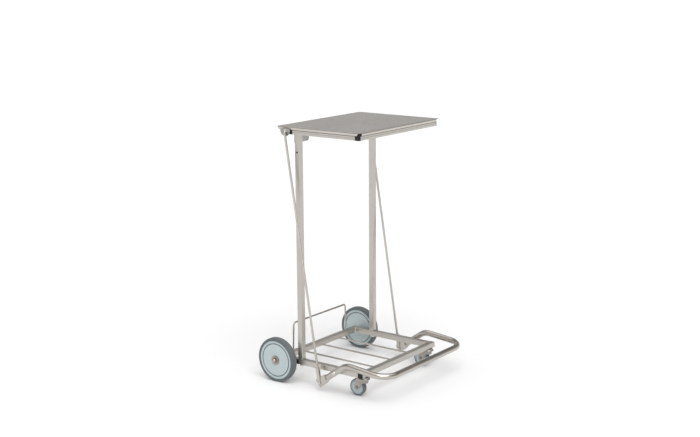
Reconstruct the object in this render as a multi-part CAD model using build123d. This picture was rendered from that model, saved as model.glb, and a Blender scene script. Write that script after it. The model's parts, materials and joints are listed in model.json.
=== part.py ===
from build123d import *

import math
import os

# Stainless steel sack trolley with a pedal operated lid.
# Frame: origin at the middle of the footprint on the floor, +Z up, -Y is the pedal side,
# "left" is -X. All sizes in millimetres.

# ---- driving dimensions ---------------------------------------------------------------
DEPTH = 700.0            # pedal bar to the back of the rear wheels
REAR_WHEEL_R = 100.0
CASTER_R = 37.5
TUBE = 25.0              # square tube of base and posts
WALL = 1.5
TUBE_CORNER = 2.5        # outer corner radius of the square tube
FRAME_HALF = 280.0       # half width over the side rails
LID_HALF = 294.0
LID_DEPTH = 436.5
LID_TOP = 1142.0
SHEET = 1.2
RING_HALF = 289.0
RING_BOTTOM = 1109.0
RING_HEIGHT = 20.0
RING_WIDTH = 25.0
RING_CAP = 6.0           # thickness of the black caps on the cross bars' ends
PEDAL_TUBE_R = 13.5
PEDAL_BEND_R = 75.0
ARM_X = 305.0            # plane of pedal arms and push rods
PLUG_HEAD = 2.0          # thickness of the black plugs outside the rail ends
WIRE_R = 4.0             # deck rods and guard wire
ROD_R = 5.0              # push rods

# ---- places worked out from them ------------------------------------------------------
AXLE_Y = DEPTH / 2 - REAR_WHEEL_R
AXLE_Z = REAR_WHEEL_R
RAIL_Z = AXLE_Z                      # rails are centred on the axle
RAIL_LOW = RAIL_Z - TUBE / 2
RAIL_TOP = RAIL_Z + TUBE / 2
FRONT_Y = AXLE_Y - 447.0             # outer face of the front rail
BACK_Y = AXLE_Y + TUBE / 2           # outer face of the rear rail
POST_FRONT = AXLE_Y - 119.0
POST_BACK = POST_FRONT + TUBE
POST_Y = (POST_FRONT + POST_BACK) / 2
POST_X = FRAME_HALF - TUBE / 2
POST_HOLE_Z = 1033.0
POST_HOLE_R = 4.5
LID_BACK = AXLE_Y - 12.5
LID_FRONT = LID_BACK - LID_DEPTH
LID_FLANGE = 14.0
FLANGE_SLOPE = 2.5                   # how far a flange leans in over its height
RING_FRONT = AXLE_Y - 443.5
RING_BACK = AXLE_Y - 64.0
RING_TOP = RING_BOTTOM + RING_HEIGHT

HINGE_Y = AXLE_Y - 34.0
HINGE_Z = LID_TOP - 13.0
HINGE_X = 188.0                      # middle of each lid hinge
EAR_PIN_Y = AXLE_Y - 60.0
EAR_PIN_Z = LID_TOP - 21.0
PIVOT_Y = AXLE_Y - 320.0
PIVOT_Z = RAIL_Z
ROD_PIN_Y = PIVOT_Y + 87.0
ROD_PIN_Z = PIVOT_Z - 63.0
PEDAL_BAR_Y = -DEPTH / 2 + PEDAL_TUBE_R
PEDAL_BAR_Z = 121.5
PEDAL_PEAK_Y = PIVOT_Y - 58.0
PEDAL_PEAK_Z = PIVOT_Z + 42.0

CASTER_X = 248.0
CASTER_Y = FRONT_Y + TUBE / 2
CASTER_TRAIL = 34.0

PIVOT_BOLT_R = 5.0
PIN_R = 4.0                          # rod pins
HINGE_PIN_R = 3.0
AXLE_R = 6.0
RUNNING = 0.08                       # radial play of a turning fit
OPEN_PIVOT_PLAY = 3.0                # radial play of the push rod pins in the lid ears
REACH = 400.0                        # longer than any part a cutter has to pass through

PARTS = {}


# ---- small shape helpers --------------------------------------------------------------
def block(x, y, z):
    """Box between the given (low, high) pairs."""
    size = [span[1] - span[0] for span in (x, y, z)]
    middle = [(span[0] + span[1]) / 2 for span in (x, y, z)]
    return Pos(*middle) * Box(*size)


def along(axis, at, span):
    """Location that turns a part standing on the XY plane to run along X, Y or Z from span[0];
    `at` holds its other two coordinates in order."""
    if axis == "X":
        return Pos(span[0], at[0], at[1]) * Rot(0, 90, 0)
    if axis == "Y":
        return Pos(at[0], span[0], at[1]) * Rot(-90, 0, 0)
    return Pos(at[0], at[1], span[0])


def bar(axis, at, radius, span):
    """Round bar along X, Y or Z."""
    return along(axis, at, span) * extrude(Circle(radius), span[1] - span[0])


def sleeve(axis, at, outer, inner, span):
    """Round bar with a through hole."""
    return along(axis, at, span) * extrude(Circle(outer) - Circle(inner), span[1] - span[0])


def square_tube(axis, at, span):
    """Hollow square tube with rounded corners along X, Y or Z."""
    bore = TUBE - 2 * WALL
    section = RectangleRounded(TUBE, TUBE, TUBE_CORNER)
    section -= RectangleRounded(bore, bore, TUBE_CORNER - WALL)
    return along(axis, at, span) * extrude(section, span[1] - span[0])


def turned(points, place, rounding=0.0, rounded=()):
    """Solid of revolution about X: points are (along X, radius), then moved by `place`."""
    face = make_face(Polyline(*points, close=True))
    if rounded:
        corners = [v for v in face.vertices() if any(math.dist((v.X, v.Y), p) < 0.01 for p in rounded)]
        face = fillet(corners, rounding)
    return place * revolve(face, Axis.X)


def dome(radius, height):
    """Shallow domed head standing on the XY plane."""
    ball = (radius**2 + height**2) / (2 * height)
    return Pos(0, 0, height - ball) * Sphere(ball) & Pos(0, 0, ball) * Box(4 * ball, 4 * ball, 2 * ball)


def side_plate(points, x, corner=0.0):
    """Plate in a YZ plane: points are (Y, Z), x is its (low, high) thickness."""
    face = make_face(Polyline(*points, close=True))
    if corner:
        face = fillet(face.vertices(), corner)
    return Pos(x[0], 0, 0) * extrude(Plane.YZ * face, x[1] - x[0])


def rounded_path(points, radius):
    """Wire through 3-D points with every inner corner rounded to one radius."""
    points = [Vector(*p) for p in points]
    edges = []
    start = points[0]
    for before, corner, after in zip(points, points[1:], points[2:]):
        into = (before - corner).normalized()
        out = (after - corner).normalized()
        opening = math.acos(into.dot(out))
        reach = radius / math.tan(opening / 2)
        inward = (into + out).normalized()
        middle = corner + inward * (radius / math.sin(opening / 2) - radius)
        edges.append(Line(start, corner + into * reach))
        edges.append(ThreePointArc(corner + into * reach, middle, corner + out * reach))
        start = corner + out * reach
    edges.append(Line(start, points[-1]))
    return Wire(edges)


def swept(path, radius):
    """Round section carried along a path."""
    section = Plane(path @ 0, z_dir=path % 0) * Circle(radius)
    return sweep(section, path)


def both(shape):
    """The shape and its mirror image in the YZ plane, as one group."""
    return Compound([*shape.solids(), *mirror(shape, about=Plane.YZ).solids()])


def pair(name, shape):
    """Right hand node as drawn, left hand node mirrored."""
    PARTS[name + "_right"] = shape
    PARTS[name + "_left"] = mirror(shape, about=Plane.YZ)


# ---- base frame -----------------------------------------------------------------------
def base_frame():
    front_mid = FRONT_Y + TUBE / 2
    side_span = (FRONT_Y + TUBE, BACK_Y - TUBE)

    front = square_tube("X", (front_mid, RAIL_Z), (-FRAME_HALF, FRAME_HALF))
    for x in (-CASTER_X, CASTER_X):
        front -= bar("Z", (x, CASTER_Y), PIVOT_BOLT_R, (RAIL_LOW - 1, RAIL_LOW + WALL + 1))
    PARTS["front_rail"] = front
    PARTS["rear_rail"] = square_tube("X", (AXLE_Y, RAIL_Z), (-FRAME_HALF, FRAME_HALF))

    side = square_tube("Y", (POST_X, RAIL_Z), side_span)
    side -= bar("X", (PIVOT_Y, PIVOT_Z), PIVOT_BOLT_R, (POST_X, REACH))
    side -= bar("Z", (POST_X, POST_Y), PIN_R, (0, 2 * RAIL_Z))
    pair("side_rail", side)

    # Black end plugs: the front ones are plain, the rear ones carry the axle.
    tongue = TUBE / 2 - WALL - 0.05
    tongue_length = 12.0
    plugs = []
    for y in (front_mid, AXLE_Y):
        head = extrude(RectangleRounded(TUBE, TUBE, TUBE_CORNER), PLUG_HEAD)
        head = fillet(head.edges().group_by(Axis.Z)[-1], 1.0)
        stub = extrude(RectangleRounded(2 * tongue, 2 * tongue, TUBE_CORNER), -tongue_length)
        plugs.append(along("X", (y, RAIL_Z), (FRAME_HALF, REACH)) * (head + stub))
    plugs[1] -= bar("X", (AXLE_Y, AXLE_Z), AXLE_R, (0, REACH))
    PARTS["front_rail_plugs"] = both(plugs[0])
    PARTS["rear_rail_plugs"] = both(plugs[1])

    deck_z = RAIL_LOW + WIRE_R + 1.0
    pitch = 127.4
    for name, x in (("left", -pitch), ("centre", 0.0), ("right", pitch)):
        PARTS["deck_rod_" + name] = bar("Y", (x, deck_z), WIRE_R, side_span)

    # The guard's legs lean in a little towards its top.
    guard_foot = 197.0
    guard_top = 192.0
    guard_z = 240.0
    guard_points = [
        (-guard_foot, AXLE_Y, RAIL_TOP),
        (-guard_top, AXLE_Y, guard_z),
        (guard_top, AXLE_Y, guard_z),
        (guard_foot, AXLE_Y, RAIL_TOP),
    ]
    wire = swept(rounded_path(guard_points, 3 * WIRE_R), WIRE_R)
    PARTS["guard_wire"] = wire - block((-REACH, REACH), (0, REACH), (0, RAIL_TOP))

    # Cover plug over the post bolt's access hole, just behind each post.
    cover = extrude(RectangleRounded(21, 12, 2), 2.5)
    cover = along("X", (POST_BACK + 4.0, RAIL_Z), (FRAME_HALF, REACH)) * cover
    cover = fillet(cover.edges().group_by(Axis.X)[-1], 0.8)
    PARTS["rail_cover_plugs"] = both(cover)

    # Wear plate on each rail, beside the push rod.
    plate = block((FRAME_HALF, FRAME_HALF + 2), (AXLE_Y - 225, AXLE_Y - 201), (RAIL_LOW + 1, RAIL_TOP - 1))
    PARTS["rod_wear_plates"] = both(fillet(plate.edges().filter_by(Axis.X), 2.0))


# ---- posts and sack ring --------------------------------------------------------------
def posts():
    post = square_tube("Z", (POST_X, POST_Y), (RAIL_TOP, RING_BOTTOM))
    post -= bar("X", (POST_Y, POST_HOLE_Z), POST_HOLE_R, (0, REACH))
    for x in (POST_X - 5, POST_X + 5):
        post -= bar("Y", (x, 1090.0), 2.0, (POST_Y, POST_BACK + 1))
    pair("post", post)

    # One bolt under the rail clamps each post through it.
    shank = bar("Z", (POST_X, POST_Y), PIN_R, (RAIL_LOW - 0.2, RAIL_TOP + 12))
    head = bar("Z", (POST_X, POST_Y), 9.5, (RAIL_LOW - 5.2, RAIL_LOW - 0.2))
    head += Pos(POST_X, POST_Y, RAIL_LOW - 5.2) * Rot(180, 0, 0) * dome(9.5, 5.0)
    PARTS["post_foot_bolts"] = both(shank + head)


def ring_bar(length):
    """Hollow bar along X with a shallow groove along its outer (-Y) face."""
    section = RectangleRounded(RING_WIDTH, RING_HEIGHT, 1.5)
    section -= RectangleRounded(RING_WIDTH - 2 * WALL, RING_HEIGHT - 2 * WALL, 0.5)
    section -= Pos(-RING_WIDTH / 2, 1.0) * Rectangle(1.2, 3.0)
    return Pos(-length / 2, 0, 0) * extrude(Plane.YZ * section, length)


def end_cap(toward_front):
    """Black cap in the right hand end of a cross bar. The bumper on it carries the closed lid."""
    outer_y = RING_FRONT if toward_front else RING_BACK
    inward = 1 if toward_front else -1
    bumper = 18.0 if toward_front else 14.0
    mid_y = outer_y + inward * RING_WIDTH / 2
    mid_z = (RING_BOTTOM + RING_TOP) / 2
    half_y = RING_WIDTH / 2 - WALL - 0.05
    half_z = RING_HEIGHT / 2 - WALL - 0.05
    across = sorted((outer_y, outer_y + inward * RING_WIDTH))
    head = block((RING_HALF - RING_CAP, RING_HALF), across, (RING_BOTTOM, RING_TOP))
    corner = head.edges().filter_by(Axis.Z).sort_by(lambda e: e.center().X - inward * e.center().Y)[-1]
    head = fillet(corner, RING_CAP - 0.5)
    tongue = block(
        (RING_HALF - RING_CAP - 12, RING_HALF - RING_CAP),
        (mid_y - half_y, mid_y + half_y),
        (mid_z - half_z, mid_z + half_z),
    )
    tongue = fillet(tongue.edges().filter_by(Axis.X), 0.6)
    post = block(
        (RING_HALF - bumper, RING_HALF),
        sorted((outer_y, outer_y + inward * bumper)),
        (RING_TOP, LID_TOP - SHEET - 0.3),
    )
    post = fillet(post.edges().filter_by(Axis.Z), RING_CAP - 0.5)
    post = fillet(post.edges().group_by(Axis.Z)[-1], 1.0)
    return head + tongue + post


def sack_ring():
    mid_y = (RING_FRONT + RING_BACK) / 2
    mid_z = (RING_BOTTOM + RING_TOP) / 2
    cross_length = 2 * (RING_HALF - RING_CAP)
    side_length = RING_BACK - RING_FRONT - 2 * RING_WIDTH
    half = RING_WIDTH / 2
    PARTS["ring_bar_front"] = Pos(0, RING_FRONT + half, mid_z) * ring_bar(cross_length)
    PARTS["ring_bar_rear"] = Pos(0, RING_BACK - half, mid_z) * Rot(0, 0, 180) * ring_bar(cross_length)
    pair("ring_bar", Pos(RING_HALF - half, mid_y, mid_z) * Rot(0, 0, 90) * ring_bar(side_length))
    PARTS["ring_end_caps"] = both(Compound([*end_cap(True).solids(), *end_cap(False).solids()]))


# ---- lid hinges -----------------------------------------------------------------------
ARM_HALF = 4.0                       # half thickness of a hinge arm
CHEEK_IN = 6.5                       # inner face of a lug cheek, from the hinge middle
CHEEK = 2.5


def hinges():
    plate_back = POST_BACK + 3.0
    low = 1072.0
    high = RING_BOTTOM - 0.5
    plate = block((HINGE_X - 7, POST_X + TUBE / 2 - 2), (POST_BACK, plate_back), (low, high))
    corner = plate.edges().filter_by(Axis.Y).sort_by(lambda e: e.center().X + e.center().Z)[0]
    plate = fillet(corner, 14.0)

    boss_r = 7.0
    under_ring = RING_BOTTOM - 1.5
    outline = [
        (plate_back, low + 6),
        (plate_back, under_ring),
        (RING_BACK + 3, under_ring),
        (RING_BACK + 3, RING_TOP - 6),
        (HINGE_Y - 3, HINGE_Z + boss_r - 0.7),
        (HINGE_Y + 3, HINGE_Z - boss_r + 0.7),
        (HINGE_Y - 24, low + 28),
    ]
    thickness = (HINGE_X - ARM_HALF, HINGE_X + ARM_HALF)
    arm = side_plate(outline, thickness) + bar("X", (HINGE_Y, HINGE_Z), boss_r, thickness)
    arm -= bar("X", (HINGE_Y, HINGE_Z), HINGE_PIN_R, (0, REACH))
    bracket = plate + arm
    bolts = []
    for x in (POST_X - 5, POST_X + 5):
        bracket -= bar("Y", (x, 1090.0), 2.0, (POST_Y, POST_BACK + 9))
        shank = bar("Y", (x, 1090.0), 2.0, (POST_BACK - 8, plate_back + 0.1))
        bolts.append(shank + Pos(x, plate_back + 0.1, 1090.0) * Rot(-90, 0, 0) * dome(4.0, 2.4))
    pair("hinge_bracket", bracket)
    PARTS["hinge_bracket_bolts"] = both(Compound(bolts))

    reach = CHEEK_IN + CHEEK + 0.4
    pin = bar("X", (HINGE_Y, HINGE_Z), HINGE_PIN_R, (HINGE_X - reach, HINGE_X + reach))
    pin += bar("X", (HINGE_Y, HINGE_Z), 5.0, (HINGE_X - reach - 2, HINGE_X - reach))
    pin += bar("X", (HINGE_Y, HINGE_Z), 5.0, (HINGE_X + reach, HINGE_X + reach + 2))
    PARTS["lid_hinge_pins"] = both(pin)


# ---- lid ------------------------------------------------------------------------------
RIVET_Y = LID_BACK - 34.0
RIVET_OFFSETS = (-12.5, 12.5)
RIVET_R = 2.0
RIVET_HEAD_R = 3.5                   # flush heads, let into the lid
RIVET_HEAD = 0.6
EAR = 3.0                            # thickness of the ears the push rods act on


def lid_pan(half, front, back, top, bottom, lean):
    """Solid block whose four sides lean in towards the bottom."""
    upper = Pos(0, (front + back) / 2, top) * Rectangle(2 * half, back - front)
    lower = Pos(0, (front + back) / 2, bottom) * Rectangle(2 * (half - lean), back - front - 2 * lean)
    return loft(Sketch() + [lower, upper])


def lid():
    bottom = LID_TOP - LID_FLANGE
    under = LID_TOP - SHEET
    outer = lid_pan(LID_HALF, LID_FRONT, LID_BACK, LID_TOP, bottom, FLANGE_SLOPE)
    outer = fillet(outer.edges().group_by(Axis.Z)[-1], 2.0)
    inner = lid_pan(
        LID_HALF - SHEET, LID_FRONT + SHEET, LID_BACK - SHEET, LID_TOP, bottom - 0.01, FLANGE_SLOPE
    )
    inner &= block((-LID_HALF, LID_HALF), (LID_FRONT, LID_BACK), (bottom - 1, under))
    sheet = outer - inner
    # At the front corners the flanges stop short: the side ones on a slant, the front one square.
    slant = [
        (LID_FRONT - 1, bottom - 1),
        (LID_FRONT - 1, under - 0.8),
        (LID_FRONT + 10, under - 0.8),
        (LID_FRONT + 21, bottom - 1),
    ]
    relief = side_plate(slant, (LID_HALF - 5, LID_HALF + 1))
    relief += block((LID_HALF - 15, LID_HALF + 1), (LID_FRONT - 1, LID_FRONT + 5), (bottom - 1, under - 0.8))
    for cut in both(relief).solids():
        sheet -= cut
    for x in rivet_places():
        sheet -= bar("Z", (x, RIVET_Y), RIVET_R, (bottom, LID_TOP + 1))
        sheet -= bar("Z", (x, RIVET_Y), RIVET_HEAD_R, (LID_TOP - RIVET_HEAD, LID_TOP + 1))
    PARTS["lid_sheet"] = sheet


def rivet_places():
    return [side * (HINGE_X + offset) for side in (-1, 1) for offset in RIVET_OFFSETS]


def lid_hardware():
    under = LID_TOP - SHEET
    plate_low = under - 2.0
    lug = block((HINGE_X - 20, HINGE_X + 20), (RIVET_Y - 10, RIVET_Y + 10), (plate_low, under))
    for offset in RIVET_OFFSETS:
        lug -= bar("Z", (HINGE_X + offset, RIVET_Y), RIVET_R, (plate_low - 1, under + 1))
    eye_r = 6.0
    for start in (HINGE_X - CHEEK_IN - CHEEK, HINGE_X + CHEEK_IN):
        thickness = (start, start + CHEEK)
        outline = [
            (RIVET_Y - 6, plate_low + 1),
            (RIVET_Y + 10, plate_low + 1),
            (HINGE_Y + 5, HINGE_Z + 3.3),
            (HINGE_Y - 2, HINGE_Z - 5.6),
        ]
        cheek = side_plate(outline, thickness) + bar("X", (HINGE_Y, HINGE_Z), eye_r, thickness)
        lug += cheek
    lug -= bar("X", (HINGE_Y, HINGE_Z), HINGE_PIN_R + RUNNING, (0, REACH))
    pair("lid_hinge_lug", lug)

    rivets = []
    for x in rivet_places():
        shank = bar("Z", (x, RIVET_Y), RIVET_R, (plate_low, LID_TOP))
        top = bar("Z", (x, RIVET_Y), RIVET_HEAD_R, (LID_TOP - RIVET_HEAD, LID_TOP))
        foot = Pos(x, RIVET_Y, plate_low) * Rot(180, 0, 0) * dome(3.0, 1.2)
        rivets.append(shank + top + foot)
    PARTS["lid_rivets"] = Compound(rivets)

    # Ear outside each side flange: round below, arched on top, with a wide hole for the
    # push rod's pin.
    ear_x = (LID_HALF, LID_HALF + EAR)
    ear_y = AXLE_Y - 56.5
    half = 26.5
    low = LID_TOP - 42.0
    high = LID_TOP - 7.0
    shoulder = LID_TOP - 12.0
    edge = [
        ThreePointArc((ear_y - half, shoulder), (ear_y, high), (ear_y + half, shoulder)),
        Line((ear_y + half, shoulder), (ear_y + half, shoulder - 3)),
        ThreePointArc((ear_y + half, shoulder - 3), (ear_y, low), (ear_y - half, shoulder - 3)),
        Line((ear_y - half, shoulder - 3), (ear_y - half, shoulder)),
    ]
    ear = Pos(ear_x[0], 0, 0) * extrude(Plane.YZ * make_face(edge), ear_x[1] - ear_x[0])
    # A wedge behind the ear fills the gap to the leaning flange.
    flange_low = LID_TOP - LID_FLANGE
    wedge = block((LID_HALF - 3, LID_HALF), (ear_y - 18, ear_y + 18), (flange_low, shoulder))
    ear += wedge - lid_pan(LID_HALF, LID_FRONT, LID_BACK, LID_TOP, flange_low, FLANGE_SLOPE)
    ear -= bar("X", (EAR_PIN_Y, EAR_PIN_Z), PIN_R + OPEN_PIVOT_PLAY, (0, REACH))
    pair("lid_ear", ear)


# ---- pedal ----------------------------------------------------------------------------
def arm_point(along, across=0.0):
    """(Y, Z) at a distance behind the pivot along the arm, and to its upper side."""
    length = math.hypot(ROD_PIN_Y - PIVOT_Y, ROD_PIN_Z - PIVOT_Z)
    run = (ROD_PIN_Y - PIVOT_Y) / length
    drop = (ROD_PIN_Z - PIVOT_Z) / length
    return (PIVOT_Y + run * along - drop * across, PIVOT_Z + drop * along + run * across)


FLAT_HALF = 2.5                      # half thickness of the pressed flat tube end
FLAT_WIDTH = 39.0


def pedal():
    round_end = 48.0                 # tube is round up to here, behind the pivot
    flat_start = 66.0
    flat_end = 117.0
    peak = (PEDAL_PEAK_Y, PEDAL_PEAK_Z)
    points = [
        (-ARM_X, *arm_point(round_end)),
        (-ARM_X, *peak),
        (-ARM_X, PEDAL_BAR_Y, PEDAL_BAR_Z),
        (ARM_X, PEDAL_BAR_Y, PEDAL_BAR_Z),
        (ARM_X, *peak),
        (ARM_X, *arm_point(round_end)),
    ]
    path = rounded_path(points, PEDAL_BEND_R)
    tube = swept(path, PEDAL_TUBE_R) - swept(path, PEDAL_TUBE_R - WALL)
    tube -= both(bar("X", (PIVOT_Y, PIVOT_Z), PIVOT_BOLT_R + RUNNING, (ARM_X - 20, ARM_X + 20)))

    slope = math.atan2(ROD_PIN_Z - PIVOT_Z, ROD_PIN_Y - PIVOT_Y)
    along = Vector(0, math.cos(slope), math.sin(slope))
    start = Plane(origin=(ARM_X, *arm_point(round_end)), x_dir=(1, 0, 0), z_dir=along)
    stop = Plane(origin=(ARM_X, *arm_point(flat_start)), x_dir=(1, 0, 0), z_dir=along)
    round_face = start * Circle(PEDAL_TUBE_R)
    flat_face = stop * RectangleRounded(2 * FLAT_HALF, FLAT_WIDTH, FLAT_HALF - 0.1)
    neck = loft(Sketch() + [round_face, flat_face])
    neck += extrude(start * Circle(PEDAL_TUBE_R - WALL / 2), -6.0)
    flat = extrude(flat_face, flat_end - flat_start)
    half = FLAT_WIDTH / 2 + 1.0
    outline = [arm_point(flat_start - 20, half), arm_point(flat_end, half),
               arm_point(flat_end, -half), arm_point(flat_start - 20, -half)]
    trimmer = side_plate(outline, (ARM_X - 2 * FLAT_HALF, ARM_X + 2 * FLAT_HALF), 7.0)
    tail = neck + (flat & trimmer)
    tail -= bar("X", (ROD_PIN_Y, ROD_PIN_Z), PIN_R, (0, REACH))
    PARTS["pedal_tube"] = tube + tail + mirror(tail, about=Plane.YZ)

    # Pin through each clevis and flat end; it turns in the clevis.
    edge = ARM_X + 8.2
    inner_edge = ARM_X - 8.2
    pin = bar("X", (ROD_PIN_Y, ROD_PIN_Z), PIN_R, (inner_edge, edge))
    pin += Pos(edge, ROD_PIN_Y, ROD_PIN_Z) * Rot(0, 90, 0) * dome(6.0, 3.0)
    pin += Pos(inner_edge, ROD_PIN_Y, ROD_PIN_Z) * Rot(0, -90, 0) * dome(6.0, 3.0)
    PARTS["pedal_rod_pins"] = both(pin)

    # Shoulder bolt on which each arm turns, its nut inside the rail, and the spacer behind it.
    inside = ARM_X - PEDAL_TUBE_R
    bolt_head = ARM_X + PEDAL_TUBE_R + 0.5
    nut = (FRAME_HALF - WALL - 7, FRAME_HALF - WALL)
    bolt = bar("X", (PIVOT_Y, PIVOT_Z), PIVOT_BOLT_R, (nut[0], bolt_head))
    bolt += bar("X", (PIVOT_Y, PIVOT_Z), 8.5, nut)
    bolt += Pos(bolt_head, PIVOT_Y, PIVOT_Z) * Rot(0, 90, 0) * dome(8.5, 4.5)
    PARTS["pedal_pivot_bolts"] = both(bolt)
    PARTS["pedal_spacers"] = both(
        sleeve("X", (PIVOT_Y, PIVOT_Z), 8.0, PIVOT_BOLT_R, (FRAME_HALF, inside - 0.5))
    )


# ---- push rods ------------------------------------------------------------------------
def rod_plane(along):
    """Plane across the push rod at a distance above its lower pin."""
    line = Vector(0, EAR_PIN_Y - ROD_PIN_Y, EAR_PIN_Z - ROD_PIN_Z)
    unit = line.normalized()
    origin = Vector(ARM_X, ROD_PIN_Y, ROD_PIN_Z) + unit * along
    return Plane(origin=origin, x_dir=(1, 0, 0), z_dir=unit)


def push_rods():
    depth = 16.0
    width = 11.4
    slot = 6.0
    clevis_end = 68.0
    slot_end = 54.0
    tail = 11.0
    web = 3.0
    body = extrude(rod_plane(-tail) * Rectangle(width, depth), clevis_end + tail)
    body = fillet(body.edges().filter_by(lambda e: e.length > clevis_end), 1.5)
    # Channel open to the front: the flat tube end turns in its lower half.
    channel = Pos(0, -web, 0) * Rectangle(slot, depth)
    body -= extrude(rod_plane(-tail - 1) * channel, slot_end + tail + 1)
    body -= extrude(rod_plane(-tail - 1) * Rectangle(slot, 2 * depth), 26.0 + tail + 1)
    body -= bar("X", (ROD_PIN_Y, ROD_PIN_Z), PIN_R + RUNNING, (0, REACH))
    pair("rod_clevis", body)

    # The rod's top is bent inwards and ends in a spigot through the lid's ear.
    bend = 6.0
    top = Vector(ARM_X, EAR_PIN_Y, EAR_PIN_Z)
    start = rod_plane(clevis_end).origin
    elbow = top - Vector(bend + 0.2, 0, 0)
    rod = swept(rounded_path([tuple(start), tuple(top), tuple(elbow)], bend), ROD_R)
    spigot = (LID_HALF - 0.3, elbow.X)
    rod += bar("X", (EAR_PIN_Y, EAR_PIN_Z), PIN_R, spigot)
    pair("push_rod", rod)

    # Washer that covers the ear's wide hole.
    washer = (LID_HALF + EAR + 0.3, LID_HALF + EAR + 1.5)
    pair("rod_end_washer", sleeve("X", (EAR_PIN_Y, EAR_PIN_Z), 9.0, PIN_R, washer))


# ---- rear wheels ----------------------------------------------------------------------
def rear_wheels():
    middle = 308.3
    tread_half = 16.0
    disc_half = 14.0
    rim_r = 87.0
    hub_r = 14.0
    groove_r = 74.0
    at = (AXLE_Y, AXLE_Z)
    place = Pos(middle, *at)

    tread = [(tread_half, rim_r), (tread_half, REAR_WHEEL_R)]
    tread += [(-x, r) for x, r in reversed(tread)]
    pair("rear_tyre", turned(tread, place, 8.0, tread[1:3]))

    disc = [(disc_half, hub_r), (disc_half, rim_r - 0.05)]
    disc += [(-x, r) for x, r in reversed(disc)]
    wheel = turned(disc, place)
    for face in (-disc_half, disc_half):
        deep = face * (disc_half - 3.0) / disc_half
        proud = face * (disc_half + 1.0) / disc_half
        groove = [(deep, groove_r - 1), (proud, groove_r - 2.6)]
        groove += [(proud, groove_r + 2.6), (deep, groove_r + 1)]
        wheel -= turned(groove, place)
    pair("rear_wheel_disc", wheel)

    face = middle + tread_half
    inner_face = middle - tread_half
    pair("rear_wheel_bush", sleeve("X", at, hub_r - 0.05, AXLE_R + RUNNING, (inner_face, face)))

    washer = 2.0
    nut = 9.0
    end = face + 0.3 + washer
    PARTS["rear_axle"] = bar("X", at, AXLE_R, (-end - nut, end + nut))
    PARTS["axle_spacers"] = both(sleeve("X", at, 10.0, AXLE_R, (FRAME_HALF + 2.0, inner_face - 0.3)))
    PARTS["axle_washers"] = both(sleeve("X", at, 20.0, AXLE_R, (face + 0.3, end)))
    hexagon = Plane.YZ * RegularPolygon(10.5, 6)
    cap = Pos(end, *at) * extrude(hexagon, nut)
    cap += Pos(end + nut, *at) * Rot(0, 90, 0) * dome(8.5, 6.0)
    cap -= bar("X", at, AXLE_R, (end - 1, end + nut))
    PARTS["axle_cap_nuts"] = both(cap)


# ---- front casters --------------------------------------------------------------------
def casters():
    crown_r = 24.0
    crown = (2 * CASTER_R + 2.5, 2 * CASTER_R + 7.5)
    leg_in = 13.5
    leg = 2.5
    side = leg_in + leg
    wheel_y = CASTER_Y + CASTER_TRAIL
    at = (wheel_y, CASTER_R)
    kingpin_r = 7.0

    # Fork: crown disc, rounded apron in front, and two legs that narrow towards the axle.
    fork = bar("Z", (CASTER_X, CASTER_Y), crown_r, crown)
    fork = fillet(fork.edges().group_by(Axis.Z)[-1], 3.0)
    apron_low = 62.0
    apron = sleeve("Z", (CASTER_X, CASTER_Y), side, leg_in, (apron_low, crown[0] + 1))
    fork += apron & block((0, REACH), (CASTER_Y - REACH, CASTER_Y), (0, REACH))
    fork += block((CASTER_X - side, CASTER_X + side), (CASTER_Y, wheel_y), (crown[0], crown[0] + leg))
    outline = [
        (CASTER_Y - 0.5, crown[0] + leg),
        (wheel_y, crown[0] + leg),
        (wheel_y + 8, CASTER_R + 24),
        (wheel_y + 9, CASTER_R - 5),
        (wheel_y + 3, CASTER_R - 10),
        (wheel_y - 6, CASTER_R - 9),
        (CASTER_Y - 0.5, apron_low),
    ]
    for start in (CASTER_X - side, CASTER_X + leg_in):
        fork += side_plate(outline, (start, start + leg))
    fork -= bar("Z", (CASTER_X, CASTER_Y), kingpin_r + RUNNING, (crown[0] - 5, crown[1] + 5))
    fork -= bar("X", at, PIN_R, (0, REACH))
    pair("caster_fork", fork)

    # Swivel head and kingpin, bolted up through the front rail.
    head = bar("Z", (CASTER_X, CASTER_Y), 20.0, (crown[1] + 0.4, RAIL_LOW - 0.2))
    head = fillet(head.edges().group_by(Axis.Z)[0], 1.5)
    head += bar("Z", (CASTER_X, CASTER_Y), kingpin_r, (crown[0] - 1.9, crown[1] + 1))
    head += bar("Z", (CASTER_X, CASTER_Y), 9.5, (crown[0] - 3.4, crown[0] - 0.4))
    head += bar("Z", (CASTER_X, CASTER_Y), PIVOT_BOLT_R, (RAIL_LOW - 1, RAIL_Z))
    PARTS["caster_heads"] = both(head)

    half = 11.0
    rim_r = 32.0
    place = Pos(CASTER_X, *at)
    tread = [(-half, rim_r), (half, rim_r), (half, CASTER_R), (-half, CASTER_R)]
    pair("caster_tyre", turned(tread, place, 5.0, tread[2:]))

    # Hub: boss, recessed web and raised rim.
    hub_half = 12.5
    web = 7.5
    rim = 10.5
    core = [(hub_half, PIN_R + RUNNING), (hub_half, 8.5), (web, 10.5)]
    core += [(web, rim_r - 5), (rim, rim_r - 3.5), (rim, rim_r - 0.05)]
    core += [(-x, r) for x, r in reversed(core)]
    pair("caster_hub", turned(core, place))

    bolt = bar("X", at, PIN_R, (CASTER_X - side - 4, CASTER_X + side))
    hexagon = Plane.YZ * RegularPolygon(7.0, 6)
    bolt += Pos(CASTER_X + side, *at) * extrude(hexagon, 4.5)
    bolt += Pos(CASTER_X - side - 5, *at) * extrude(hexagon, 5.0)
    pair("caster_axle", bolt)


def main():
    base_frame()
    posts()
    sack_ring()
    hinges()
    lid()
    lid_hardware()
    pedal()
    push_rods()
    rear_wheels()
    casters()
    os.makedirs("parts", exist_ok=True)
    for name, shape in PARTS.items():
        export_step(shape, os.path.join("parts", name + ".step"))


main()
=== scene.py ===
import json
import math
import random

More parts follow.
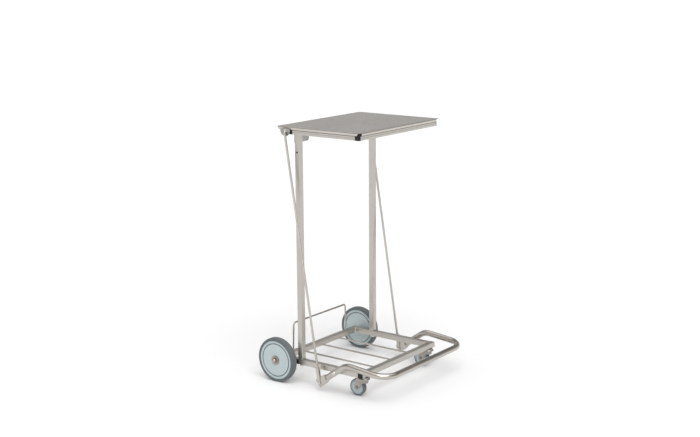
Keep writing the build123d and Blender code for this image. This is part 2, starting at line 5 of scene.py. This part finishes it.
import bmesh
import bpy
from mathutils import Matrix, Vector


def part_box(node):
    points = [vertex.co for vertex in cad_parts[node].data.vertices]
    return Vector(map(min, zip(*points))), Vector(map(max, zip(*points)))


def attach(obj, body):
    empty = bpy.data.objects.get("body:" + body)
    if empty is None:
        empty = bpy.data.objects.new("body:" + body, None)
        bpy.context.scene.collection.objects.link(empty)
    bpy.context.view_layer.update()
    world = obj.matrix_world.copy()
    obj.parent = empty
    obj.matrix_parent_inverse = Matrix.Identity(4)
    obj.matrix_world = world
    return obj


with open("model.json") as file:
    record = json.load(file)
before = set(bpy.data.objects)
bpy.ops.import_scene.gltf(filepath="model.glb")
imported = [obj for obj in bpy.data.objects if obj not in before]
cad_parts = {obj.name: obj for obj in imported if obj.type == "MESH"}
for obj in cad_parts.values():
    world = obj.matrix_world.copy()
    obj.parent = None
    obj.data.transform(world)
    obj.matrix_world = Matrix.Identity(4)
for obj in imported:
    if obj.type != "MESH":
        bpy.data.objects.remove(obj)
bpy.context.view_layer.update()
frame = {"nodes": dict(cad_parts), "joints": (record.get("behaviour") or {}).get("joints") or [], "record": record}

# Stainless steel sack trolley with a pedal operated lid. The CAD pieces keep their shapes and
# get their finishes here; weld beads, tyre lines and other small details are added as pieces.

# ---- places read from the frame -------------------------------------------------------
SIDES = ("left", "right")


def nodes_in_slot(slot):
    return [part["node"] for part in frame["record"]["subparts"] if part["material_slot"] == slot]


def span(node):
    """Lowest corner, highest corner and middle of a CAD node."""
    low, high = (Vector(corner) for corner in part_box(node))
    return low, high, (low + high) / 2


def long_axis(node):
    low, high, _ = span(node)
    size = high - low
    return max(range(3), key=lambda i: size[i])


# ---- material helpers -----------------------------------------------------------------
def new_material(name, colour, roughness, metallic=0.0):
    """Principled material; returns it with its node tree, shader and object coordinates."""
    material = bpy.data.materials.new(name)
    material.use_nodes = True
    tree = material.node_tree
    shader = tree.nodes["Principled BSDF"]
    shader.inputs["Base Color"].default_value = (*colour, 1.0)
    shader.inputs["Roughness"].default_value = roughness
    shader.inputs["Metallic"].default_value = metallic
    coords = tree.nodes.new("ShaderNodeTexCoord").outputs["Object"]
    return material, tree, shader, coords


def noise(tree, coords, scale, detail=3.0, stretch=(1.0, 1.0, 1.0), offset=0.0):
    """Noise factor over stretched coordinates."""
    mapping = tree.nodes.new("ShaderNodeMapping")
    mapping.inputs["Scale"].default_value = stretch
    mapping.inputs["Location"].default_value = (offset, offset, offset)
    tree.links.new(coords, mapping.inputs["Vector"])
    texture = tree.nodes.new("ShaderNodeTexNoise")
    texture.inputs["Scale"].default_value = scale
    texture.inputs["Detail"].default_value = detail
    tree.links.new(mapping.outputs["Vector"], texture.inputs["Vector"])
    return texture.outputs["Fac"]


def remap(tree, value, low, high, from_low=0.3, from_high=0.7):
    node = tree.nodes.new("ShaderNodeMapRange")
    node.inputs["From Min"].default_value = from_low
    node.inputs["From Max"].default_value = from_high
    node.inputs["To Min"].default_value = low
    node.inputs["To Max"].default_value = high
    tree.links.new(value, node.inputs["Value"])
    return node.outputs["Result"]


def math_node(tree, operation, first, second):
    """Math node over sockets or plain numbers."""
    node = tree.nodes.new("ShaderNodeMath")
    node.operation = operation
    for socket, value in zip(node.inputs, (first, second)):
        if isinstance(value, (int, float)):
            socket.default_value = value
        else:
            tree.links.new(value, socket)
    return node.outputs["Value"]


def blend_colours(tree, factor, first, second):
    """Colour that goes from first to second as the factor goes from 0 to 1."""
    node = tree.nodes.new("ShaderNodeMix")
    node.data_type = "RGBA"
    tree.links.new(factor, node.inputs["Factor"])
    for socket, value in zip((node.inputs[6], node.inputs[7]), (first, second)):
        if isinstance(value, tuple):
            socket.default_value = (*value, 1.0)
        else:
            tree.links.new(value, socket)
    return node.outputs[2]


def add_bump(tree, shader, height, strength, distance):
    node = tree.nodes.new("ShaderNodeBump")
    node.inputs["Strength"].default_value = strength
    node.inputs["Distance"].default_value = distance
    tree.links.new(height, node.inputs["Height"])
    tree.links.new(node.outputs["Normal"], shader.inputs["Normal"])


def shade(value, factor):
    return tuple(min(1.0, channel * factor) for channel in value)


# ---- finishes -------------------------------------------------------------------------
STEEL = (0.545, 0.515, 0.478)
# Colour of the painted shade in the lid's fold and hem and along the ring bars' top edge, groove and bottom edge.
SEAM_SHADE = (0.13, 0.115, 0.10)
WHEEL_GROOVE_R = 0.074       # middle of the groove in the rear wheel discs
WHEEL_GROOVE_HALF = 0.0034   # its half width


def paint_seam_shade(tree, coords, colour, seams):
    """Painted shade in level seams: each is a height, a half width and a strength."""
    split = tree.nodes.new("ShaderNodeSeparateXYZ")
    tree.links.new(coords, split.inputs["Vector"])
    for height, reach, strength in seams:
        off = math_node(tree, "ABSOLUTE", math_node(tree, "SUBTRACT", split.outputs["Z"], height), 0.0)
        painted_shade = remap(tree, off, strength, 0.0, reach * 0.5, reach)
        colour = blend_colours(tree, painted_shade, colour, SEAM_SHADE)
    return colour


def brushed_steel(name, axis, colour=STEEL, roughness=0.30, seams=()):
    """Satin ground stainless with its grain along one axis, faint smudges and scuffs."""
    material, tree, shader, coords = new_material(name, colour, roughness, 1.0)
    stretch = [1.0, 1.0, 1.0]
    stretch[axis] = 0.012
    grain = noise(tree, coords, 1400.0, 4.0, tuple(stretch))
    broad = noise(tree, coords, 9.0, 4.0, offset=3.1)
    smudge = noise(tree, coords, 38.0, 6.0, offset=7.7)
    tint = blend_colours(tree, remap(tree, grain, 0.0, 1.0), shade(colour, 0.93), shade(colour, 1.05))
    cloudy = blend_colours(tree, remap(tree, broad, 0.0, 0.35), tint, shade(colour, 0.86))
    # Painted shade in the seams is laid over the steel's colour here.
    cloudy = paint_seam_shade(tree, coords, cloudy, seams)
    tree.links.new(cloudy, shader.inputs["Base Color"])
    rough = math_node(
        tree,
        "ADD",
        remap(tree, grain, roughness - 0.04, roughness + 0.06),
        remap(tree, smudge, 0.0, 0.08, 0.45, 0.75),
    )
    tree.links.new(rough, shader.inputs["Roughness"])
    shader.inputs["Anisotropic"].default_value = 0.35
    add_bump(tree, shader, grain, 0.22, 0.00004)
    return material


def satin_steel(name, colour=STEEL, roughness=0.26, grain_scale=900.0):
    """Beaded or polished stainless with no grain direction."""
    material, tree, shader, coords = new_material(name, colour, roughness, 1.0)
    grain = noise(tree, coords, grain_scale, 3.0)
    broad = noise(tree, coords, 14.0, 4.0, offset=1.7)
    tint = blend_colours(tree, remap(tree, broad, 0.0, 1.0), shade(colour, 0.90), shade(colour, 1.04))
    tree.links.new(tint, shader.inputs["Base Color"])
    rough = math_node(
        tree,
        "ADD",
        remap(tree, grain, roughness - 0.03, roughness + 0.03),
        remap(tree, broad, 0.0, 0.07),
    )
    tree.links.new(rough, shader.inputs["Roughness"])
    add_bump(tree, shader, grain, 0.10, 0.00003)
    return material


def weld_steel():
    """Brushed-off weld: duller and warmer than the tube, finely pitted."""
    colour = (0.50, 0.46, 0.42)
    material, tree, shader, coords = new_material("weld_steel", colour, 0.42, 1.0)
    pits = noise(tree, coords, 700.0, 5.0)
    heat = noise(tree, coords, 120.0, 2.0, offset=4.0)
    tint = blend_colours(tree, remap(tree, heat, 0.0, 1.0), colour, (0.42, 0.36, 0.30))
    tree.links.new(tint, shader.inputs["Base Color"])
    tree.links.new(remap(tree, pits, 0.34, 0.52), shader.inputs["Roughness"])
    add_bump(tree, shader, pits, 0.35, 0.0001)
    return material


def black_plastic():
    colour = (0.010, 0.0095, 0.009)
    material, tree, shader, coords = new_material("black_plastic", colour, 0.42)
    grain = noise(tree, coords, 2600.0, 2.0)
    wear = noise(tree, coords, 90.0, 5.0, offset=2.0)
    tint = blend_colours(tree, remap(tree, wear, 0.0, 1.0, 0.5, 0.8), colour, (0.028, 0.027, 0.025))
    tree.links.new(tint, shader.inputs["Base Color"])
    tree.links.new(remap(tree, wear, 0.36, 0.52), shader.inputs["Roughness"])
    shader.inputs["Specular IOR Level"].default_value = 0.3
    add_bump(tree, shader, grain, 0.30, 0.00008)
    return material


def radius_from(tree, coords, centre):
    """Distance from a wheel's axle line, which runs along X through centre."""
    split = tree.nodes.new("ShaderNodeSeparateXYZ")
    tree.links.new(coords, split.inputs["Vector"])
    across = math_node(tree, "SUBTRACT", split.outputs["Y"], centre.y)
    up = math_node(tree, "SUBTRACT", split.outputs["Z"], centre.z)
    total = math_node(
        tree, "ADD", math_node(tree, "MULTIPLY", across, across), math_node(tree, "MULTIPLY", up, up)
    )
    return math_node(tree, "SQRT", total, 0.0)


def wheel_plastic(name, centre, rim, groove=None):
    """Pale blue-grey moulded disc, a little dusty at its rim, with painted shade down in its groove."""
    colour = (0.43, 0.50, 0.515)
    material, tree, shader, coords = new_material(name, colour, 0.17)
    flow = noise(tree, coords, 26.0, 5.0, offset=0.6)
    grain = noise(tree, coords, 1500.0, 2.0)
    cloudy = blend_colours(tree, remap(tree, flow, 0.0, 1.0), shade(colour, 0.96), shade(colour, 1.03))
    radius = radius_from(tree, coords, centre)
    dust = math_node(
        tree,
        "MULTIPLY",
        remap(tree, radius, 0.0, 0.30, rim * 0.90, rim),
        remap(tree, noise(tree, coords, 60.0, 6.0, offset=5.0), 0.2, 1.0),
    )
    tinted = blend_colours(tree, dust, cloudy, (0.34, 0.38, 0.38))
    # Painted shade down in the disc's groove, darkest at its middle.
    if groove:
        middle, reach = groove
        off = math_node(tree, "ABSOLUTE", math_node(tree, "SUBTRACT", radius, middle), 0.0)
        painted_shade = remap(tree, off, 0.85, 0.0, reach * 0.35, reach)
        tinted = blend_colours(tree, painted_shade, tinted, (0.11, 0.135, 0.145))
    tree.links.new(tinted, shader.inputs["Base Color"])
    tree.links.new(remap(tree, flow, 0.14, 0.22), shader.inputs["Roughness"])
    shader.inputs["Coat Weight"].default_value = 0.25
    shader.inputs["Coat Roughness"].default_value = 0.12
    add_bump(tree, shader, grain, 0.06, 0.00003)
    return material


def tyre_rubber(name, centre, tread):
    """Grey non-marking rubber, scuffed lighter where it meets the floor."""
    colour = (0.088, 0.106, 0.114)
    material, tree, shader, coords = new_material(name, colour, 0.42)
    grain = noise(tree, coords, 800.0, 4.0)
    scuff = noise(tree, coords, 130.0, 6.0, offset=9.0)
    radius = radius_from(tree, coords, centre)
    worn = math_node(
        tree, "MULTIPLY", remap(tree, radius, 0.0, 1.0, tread * 0.985, tread), remap(tree, scuff, 0.1, 0.6)
    )
    cloudy = blend_colours(tree, remap(tree, scuff, 0.0, 1.0), colour, shade(colour, 1.20))
    tree.links.new(blend_colours(tree, worn, cloudy, (0.19, 0.195, 0.19)), shader.inputs["Base Color"])
    tree.links.new(math_node(tree, "ADD", remap(tree, scuff, 0.36, 0.48), worn), shader.inputs["Roughness"])
    add_bump(tree, shader, grain, 0.22, 0.0001)
    return material


def nylon():
    """Off-white bush material, faintly translucent."""
    material, tree, shader, coords = new_material("white_nylon", (0.70, 0.69, 0.65), 0.38)
    add_bump(tree, shader, noise(tree, coords, 900.0, 2.0), 0.10, 0.00005)
    shader.inputs["Subsurface Weight"].default_value = 0.05
    return material


def give(nodes, material):
    """Puts one material on every slot of some CAD nodes."""
    for node in nodes:
        for slot in frame["nodes"][node].material_slots:
            slot.material = material


def wheel_facts(tyre, disc):
    """Middle, tread radius and disc radius of a wheel, measured on its nodes."""
    low, high, middle = span(tyre)
    return middle, (high.z - low.z) / 2, span(disc)[1].z - middle.z


def finish_steel():
    """Brushed steel along each piece, with painted shade lines at the lid's folds and the ring's groove and edges.
    """
    brushed = {axis: brushed_steel("brushed_steel_" + "xyz"[axis], axis) for axis in range(3)}
    for node in nodes_in_slot("brushed_stainless"):
        give([node], brushed[long_axis(node)])
    hem, fold = (corner.z for corner in span("lid_sheet")[:2])
    # Painted shade: a dark line just under the lid's top fold and one along its hem.
    lid_seams = [(fold - 0.0030, 0.0017, 0.75), (hem + 0.0006, 0.0012, 0.6)]
    give(["lid_sheet"], brushed_steel("brushed_lid", 0, (0.61, 0.575, 0.53), 0.28, lid_seams))
    ring_low, ring_high, ring_middle = (corner.z for corner in span("ring_bar_front"))
    # Painted shade: the shadow under the lid's flange along each ring bar's top, a line in its groove and one
    # along its bottom edge.
    ring_seams = [(ring_high - 0.0018, 0.0026, 0.8), (ring_middle, 0.0011, 0.5), (ring_low, 0.0012, 0.5)]
    for name, axis in (("front", 0), ("rear", 0), ("left", 1), ("right", 1)):
        steel = brushed_steel("brushed_ring_" + name, axis, STEEL, 0.26, ring_seams)
        give(["ring_bar_" + name], steel)


def finish_fittings():
    """Tubes, rods, pressed plates, castings, bolts and the black plastic caps."""
    tube = satin_steel("satin_tube", (0.53, 0.495, 0.455), 0.19)
    give(["pedal_tube", "guard_wire", "deck_rod_left", "deck_rod_centre", "deck_rod_right"], tube)
    give(["push_rod_left", "push_rod_right"], tube)
    pressed = satin_steel("pressed_steel", (0.37, 0.345, 0.315), 0.13)
    give(["caster_fork_left", "caster_fork_right", "caster_heads"], pressed)
    dull = satin_steel("dull_casting", (0.40, 0.395, 0.38), 0.40, 500.0)
    give(["lid_ear_left", "lid_ear_right", "hinge_bracket_left", "hinge_bracket_right"], dull)
    give(["rod_end_washer_left", "rod_end_washer_right"], dull)
    give(nodes_in_slot("polished_fasteners"), satin_steel("polished_bolts", (0.70, 0.68, 0.66), 0.16))
    give(["caster_axle_left", "caster_axle_right"], satin_steel("zinc_bolts", (0.33, 0.31, 0.285), 0.30))
    give(["axle_washers"], satin_steel("weathered_washers", (0.37, 0.325, 0.28), 0.34, 600.0))
    give(["axle_cap_nuts"], satin_steel("cap_nuts", (0.46, 0.42, 0.38), 0.22))
    give(["front_rail_plugs", "rear_rail_plugs", "rail_cover_plugs", "ring_end_caps"], black_plastic())


def finish_wheels():
    white = nylon()
    groove = (WHEEL_GROOVE_R, WHEEL_GROOVE_HALF)
    for side in SIDES:
        tyre, disc = "rear_tyre_" + side, "rear_wheel_disc_" + side
        middle, tread_r, disc_r = wheel_facts(tyre, disc)
        give([tyre], tyre_rubber("tyre_rubber", middle, tread_r))
        give([disc], wheel_plastic("wheel_plastic", middle, disc_r, groove))
        tyre, hub = "caster_tyre_" + side, "caster_hub_" + side
        middle, tread_r, hub_r = wheel_facts(tyre, hub)
        give([tyre], tyre_rubber("caster_rubber", middle, tread_r))
        give([hub], wheel_plastic("caster_plastic", middle, hub_r))
        give(["rear_wheel_bush_" + side], white)


CRISP_NODES = ["lid_ear", "hinge_bracket", "rod_clevis", "lid_hinge_lug", "caster_fork"]


def soften_edges():
    """Rounds the cut edges of the flat plates by a fraction of a millimetre."""
    names = [name + "_" + side for name in CRISP_NODES for side in SIDES]
    for name in names:
        node = frame["nodes"][name]
        merge = node.modifiers.new("merge", "WELD")
        merge.merge_threshold = 0.00001
        edge = node.modifiers.new("edge", "BEVEL")
        edge.width = 0.0004
        edge.segments = 2
        edge.limit_method = "ANGLE"
        edge.angle_limit = math.radians(40)
        edge.use_clamp_overlap = True


# ---- small pieces ---------------------------------------------------------------------
def piece(name, mesh_maker, material, body):
    """New mesh piece: mesh_maker fills a bmesh; the piece rides on a body."""
    mesh = bpy.data.meshes.new(name)
    builder = bmesh.new()
    mesh_maker(builder)
    bmesh.ops.recalc_face_normals(builder, faces=builder.faces)
    builder.to_mesh(mesh)
    builder.free()
    mesh.polygons.foreach_set("use_smooth", [True] * len(mesh.polygons))
    made = bpy.data.objects.new(name, mesh)
    bpy.context.scene.collection.objects.link(made)
    mesh.materials.append(material)
    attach(made, body)
    return made


def tube_along(builder, path, radius_at, closed=True, sides=8):
    """Tube through a list of points, its radius given by a function of the point's number."""
    count = len(path)
    rings = []
    for i, point in enumerate(path):
        before = path[(i - 1) % count] if closed or i else point
        after = path[(i + 1) % count] if closed or i < count - 1 else point
        direction = (after - before).normalized()
        side = direction.orthogonal().normalized()
        if rings:
            side = (rings[-1][1] - direction * rings[-1][1].dot(direction)).normalized()
        other = direction.cross(side)
        radius = radius_at(i)
        ring = []
        for k in range(sides):
            angle = 2 * math.pi * k / sides
            spoke = side * math.cos(angle) + other * math.sin(angle)
            ring.append(builder.verts.new(point + spoke * radius))
        rings.append((ring, side))
    pairs = list(zip(rings, rings[1:]))
    for (ring, _), (following, _) in pairs:
        for k in range(sides):
            n = (k + 1) % sides
            builder.faces.new((ring[k], ring[n], following[n], following[k]))
    if closed:
        first, last = rings[0][0], rings[-1][0]
        nearest = min(range(sides), key=lambda k: (first[k].co - last[0].co).length)
        for k in range(sides):
            n = (k + 1) % sides
            builder.faces.new(
                (last[k], last[n], first[(n + nearest) % sides], first[(k + nearest) % sides])
            )
    else:
        builder.faces.new(rings[0][0])
        builder.faces.new(rings[-1][0])


def resampled(corners, step, closed=True):
    """Points every step or so along straight runs between corners."""
    ends = corners[1:] + corners[:1] if closed else corners[1:]
    points = []
    for start, end in zip(corners, ends):
        count = max(1, round((end - start).length / step))
        points += [start.lerp(end, i / count) for i in range(count)]
    if not closed:
        points.append(corners[-1])
    return points


def bead(builder, corners, radius, rng, closed=True):
    """Weld bead: a rippled tube of slightly uneven thickness."""
    path = resampled(corners, radius * 0.7, closed)
    widths = []
    for i in range(len(path)):
        ripple = 0.86 + 0.14 * abs(math.sin(i * 1.25))
        widths.append(radius * (ripple + rng.uniform(-0.05, 0.05)))
    tube_along(builder, path, lambda i: widths[i], closed)


def ring_points(centre, radius, axis, count=40):
    """Circle of points about an axis through centre."""
    u = Vector((0, 1, 0)) if axis == 0 else Vector((1, 0, 0))
    w = Vector((0, 0, 1)) if axis != 2 else Vector((0, 1, 0))
    angles = [2 * math.pi * i / count for i in range(count)]
    return [centre + u * (radius * math.cos(a)) + w * (radius * math.sin(a)) for a in angles]


def square_points(centre, half, axis):
    """Corners of a square about an axis through centre."""
    u = Vector((0, 1, 0)) if axis == 0 else Vector((1, 0, 0))
    w = Vector((0, 0, 1)) if axis != 2 else Vector((0, 1, 0))
    return [centre + u * (a * half) + w * (b * half) for a, b in ((-1, -1), (1, -1), (1, 1), (-1, 1))]


WELD_R = 0.0016            # usual thickness of a bead, as a radius
DECK_ROD_WELD_R = 0.0042   # from a deck rod's middle to its bead
INNER_WELD_R = 0.0027      # the ground welds in the base's inner corners


def weld_beads(weld):
    """Welds of the base: rails to each other, posts, deck rods, guard wire and wear plates."""
    rng = random.Random(7)
    half = (span("front_rail")[1].z - span("front_rail")[0].z) / 2

    def rails(builder):
        for side in SIDES:
            low, high, middle = span("side_rail_" + side)
            for y in (low.y, high.y):
                bead(builder, square_points(Vector((middle.x, y, middle.z)), half - 0.001, 1), WELD_R, rng)

    def feet(builder):
        for side in SIDES:
            low, _, middle = span("post_" + side)
            bead(builder, square_points(Vector((middle.x, middle.y, low.z)), half - 0.0005, 2), WELD_R, rng)

    def rods(builder):
        for name in ("left", "centre", "right"):
            low, high, middle = span("deck_rod_" + name)
            for y in (low.y, high.y):
                centre = Vector((middle.x, y, middle.z))
                bead(builder, ring_points(centre, DECK_ROD_WELD_R, 1, 18), WELD_R * 0.8, rng)

    def guard(builder):
        low, high, middle = span("guard_wire")
        wire = (high.y - low.y) / 2
        for x in (low.x + wire, high.x - wire):
            bead(builder, ring_points(Vector((x, middle.y, low.z)), wire, 2, 18), WELD_R * 0.8, rng)

    def plates(builder):
        low, high, _ = span("rod_wear_plates")
        rail = span("side_rail_left")
        for x in (rail[0].x, -rail[0].x):
            for y in (low.y, high.y):
                ends = [Vector((x, y, low.z + 0.002)), Vector((x, y, high.z - 0.002))]
                bead(builder, ends, WELD_R * 0.7, rng, closed=False)

    def inner_corners(builder):
        left, right = span("side_rail_left"), span("side_rail_right")
        low, high, _ = left
        for x in (min(left[1].x, right[1].x), max(left[0].x, right[0].x)):
            for y in (low.y, high.y):
                ends = [Vector((x, y, low.z + 0.002)), Vector((x, y, high.z - 0.002))]
                path = resampled(ends, 0.002, False)
                tube_along(builder, path, lambda i: INNER_WELD_R, closed=False, sides=12)

    # Ground welds polished bright. Their steel is lighter than the tube's, partly as a painted highlight along
    # each inner corner.
    polished = satin_steel("ground_weld_highlight", (0.78, 0.75, 0.71), 0.16)
    piece("inner_corner_welds", inner_corners, polished, "frame")
    makers = {
        "rail_welds": rails,
        "post_welds": feet,
        "deck_rod_welds": rods,
        "guard_welds": guard,
        "wear_plate_welds": plates,
    }
    for name, maker in makers.items():
        piece(name, maker, weld, "frame")


# Kind of wheel, rounding of its tyre's shoulders and radius of the ridge on its side faces, which
# is on the tyre at the rear wheels and over the hub's rim at the casters.
TYRE_RIDGES = [("rear", 0.008, 0.0895), ("caster", 0.005, 0.0300)]


def wheel_lines(rubber):
    """Moulding ridges on every wheel: one on each shoulder and one on each side face."""
    for kind, shoulder, wall in TYRE_RIDGES:
        for side in SIDES:
            low, high, middle = span(kind + "_tyre_" + side)
            half = (high.x - low.x) / 2
            tread = (high.z - low.z) / 2
            turn = shoulder * math.sqrt(0.5)
            rings = [(half - shoulder + turn, tread - shoulder + turn, 0.00045), (half, wall, 0.0004)]

            def ridges(builder):
                for offset, radius, thick in rings:
                    for way in (-1, 1):
                        centre = middle + Vector((way * offset, 0, 0))
                        path = ring_points(centre, radius, 0, 96)
                        tube_along(builder, path, lambda i: thick, sides=6)

            body = "rear_wheel_" + side if kind == "rear" else "caster_wheel_" + side
            piece(kind + "_tyre_lines_" + side, ridges, rubber, body)


SWIVEL_LIP_R = 0.0195
SWIVEL_LIP_THICK = 0.0011


def caster_races(steel):
    """Rolled lip around each swivel, between head and fork."""
    for side in SIDES:
        swivel = next(j for j in frame["joints"] if j["name"] == "caster_swivel_" + side)["pos_m"]
        centre = Vector((swivel[0], swivel[1], span("caster_fork_" + side)[1].z))

        def lip(builder):
            path = ring_points(centre, SWIVEL_LIP_R, 2, 64)
            tube_along(builder, path, lambda i: SWIVEL_LIP_THICK, sides=8)

        piece("caster_race_" + side, lip, steel, "caster_" + side)


# ---- floor, light and camera ----------------------------------------------------------
FLOOR_R = 160.0
FLOOR_DROP = 0.0006   # below the wheels, so that floor and tread don't share a plane


def floor():
    place = (0, 0, -FLOOR_DROP)
    bpy.ops.mesh.primitive_circle_add(vertices=96, radius=FLOOR_R, fill_type="NGON", location=place)
    ground = bpy.context.object
    ground.name = "studio_floor"
    material, _, shader, _ = new_material("studio_floor", (0.88, 0.88, 0.88), 0.8)
    shader.inputs["Specular IOR Level"].default_value = 0.0
    ground.data.materials.append(material)


# Brightness of the studio by the height of the direction looked at (its sine).
STUDIO_LIGHT = [(0.0, 0.80), (0.30, 0.70), (0.45, 0.32), (0.66, 0.24), (0.80, 1.25), (1.0, 1.45)]
STUDIO_SIDES = (1.25, 0.70)   # how much brighter the -X side is, and how much darker the +X side


SOFTBOX_PLACE = Vector((-5.6, -4.4, 1.15))   # behind the camera, low
SOFTBOX_TARGET = Vector((0, 0, 0.5))
SOFTBOX_SIZE = (1.6, 2.2)
SOFTBOX_WATTS = 18.0
SUN_STRENGTH = 1.55
SUN_SPREAD = 50        # degrees across, so that shadows are soft
SUN_TILT = (30, -28)   # degrees about X and Y, from straight down


def studio_world():
    """Surrounding light that changes with height and from side to side."""
    world = bpy.data.worlds.new("studio")
    world.use_nodes = True
    bpy.context.scene.world = world
    tree = world.node_tree
    direction = tree.nodes.new("ShaderNodeTexCoord").outputs["Generated"]
    split = tree.nodes.new("ShaderNodeSeparateXYZ")
    tree.links.new(direction, split.inputs["Vector"])
    ramp = tree.nodes.new("ShaderNodeValToRGB")
    while len(ramp.color_ramp.elements) < len(STUDIO_LIGHT):
        ramp.color_ramp.elements.new(0.5)
    brightest = max(level for _, level in STUDIO_LIGHT)
    for stop, (place, level) in zip(ramp.color_ramp.elements, STUDIO_LIGHT):
        stop.position = place
        stop.color = (level / brightest, level / brightest, level / brightest, 1.0)
    tree.links.new(split.outputs["Z"], ramp.inputs["Fac"])
    sky = tree.nodes["Background"]
    tree.links.new(ramp.outputs["Color"], sky.inputs["Color"])
    sides = remap(tree, split.outputs["X"], *STUDIO_SIDES, -1.0, 1.0)
    tree.links.new(math_node(tree, "MULTIPLY", sides, brightest), sky.inputs["Strength"])


def soft_sun():
    sun = bpy.data.lights.new("soft_sun", "SUN")
    sun.energy = SUN_STRENGTH
    sun.angle = math.radians(SUN_SPREAD)
    holder = bpy.data.objects.new("soft_sun", sun)
    holder.rotation_euler = (math.radians(SUN_TILT[0]), math.radians(SUN_TILT[1]), 0)
    bpy.context.scene.collection.objects.link(holder)


def low_softbox():
    """Gives tubes and rounded corners their streak."""
    soft = bpy.data.lights.new("low_softbox", "AREA")
    soft.shape = "RECTANGLE"
    soft.size, soft.size_y = SOFTBOX_SIZE
    soft.energy = SOFTBOX_WATTS
    stand = bpy.data.objects.new("low_softbox", soft)
    stand.location = SOFTBOX_PLACE
    stand.rotation_euler = (SOFTBOX_TARGET - SOFTBOX_PLACE).to_track_quat("-Z", "Y").to_euler()
    bpy.context.scene.collection.objects.link(stand)


CAMERA_PLACE = Vector((-4.4016, -3.2120, 1.8469))
CAMERA_YAW = 36.79       # degrees from +X towards +Y
CAMERA_PITCH = 13.31     # degrees below the horizon
CAMERA_ROLL = 0.37
CAMERA_LENS = 64.90
CAMERA_SHIFT = (0.0011, 0.0500)


def camera():
    data = bpy.data.cameras.new("camera")
    data.lens = CAMERA_LENS
    data.sensor_width = 36.0
    data.shift_x, data.shift_y = CAMERA_SHIFT
    data.clip_end = 400.0
    holder = bpy.data.objects.new("camera", data)
    yaw, pitch, roll = (math.radians(a) for a in (CAMERA_YAW, CAMERA_PITCH, CAMERA_ROLL))
    forward = Vector((math.cos(yaw) * math.cos(pitch), math.sin(yaw) * math.cos(pitch), -math.sin(pitch)))
    right = Vector((math.sin(yaw), -math.cos(yaw), 0.0))
    down = forward.cross(right)
    turned_right = right * math.cos(roll) + down * math.sin(roll)
    turned_down = down * math.cos(roll) - right * math.sin(roll)
    turn = Matrix((turned_right, -turned_down, -forward)).transposed()
    holder.matrix_world = Matrix.Translation(CAMERA_PLACE) @ turn.to_4x4()
    bpy.context.scene.collection.objects.link(holder)
    bpy.context.scene.camera = holder


def main():
    bpy.context.scene.view_settings.view_transform = "Standard"
    camera()
    floor()
    studio_world()
    soft_sun()
    low_softbox()
    finish_steel()
    finish_fittings()
    finish_wheels()
    soften_edges()
    weld_beads(weld_steel())
    # A tread radius of 1 m is out of reach, so the ridges stay unscuffed.
    wheel_lines(tyre_rubber("tyre_ridges", Vector((0, 0, 0)), 1.0))
    caster_races(satin_steel("race_steel", (0.55, 0.52, 0.49), 0.24))


main()
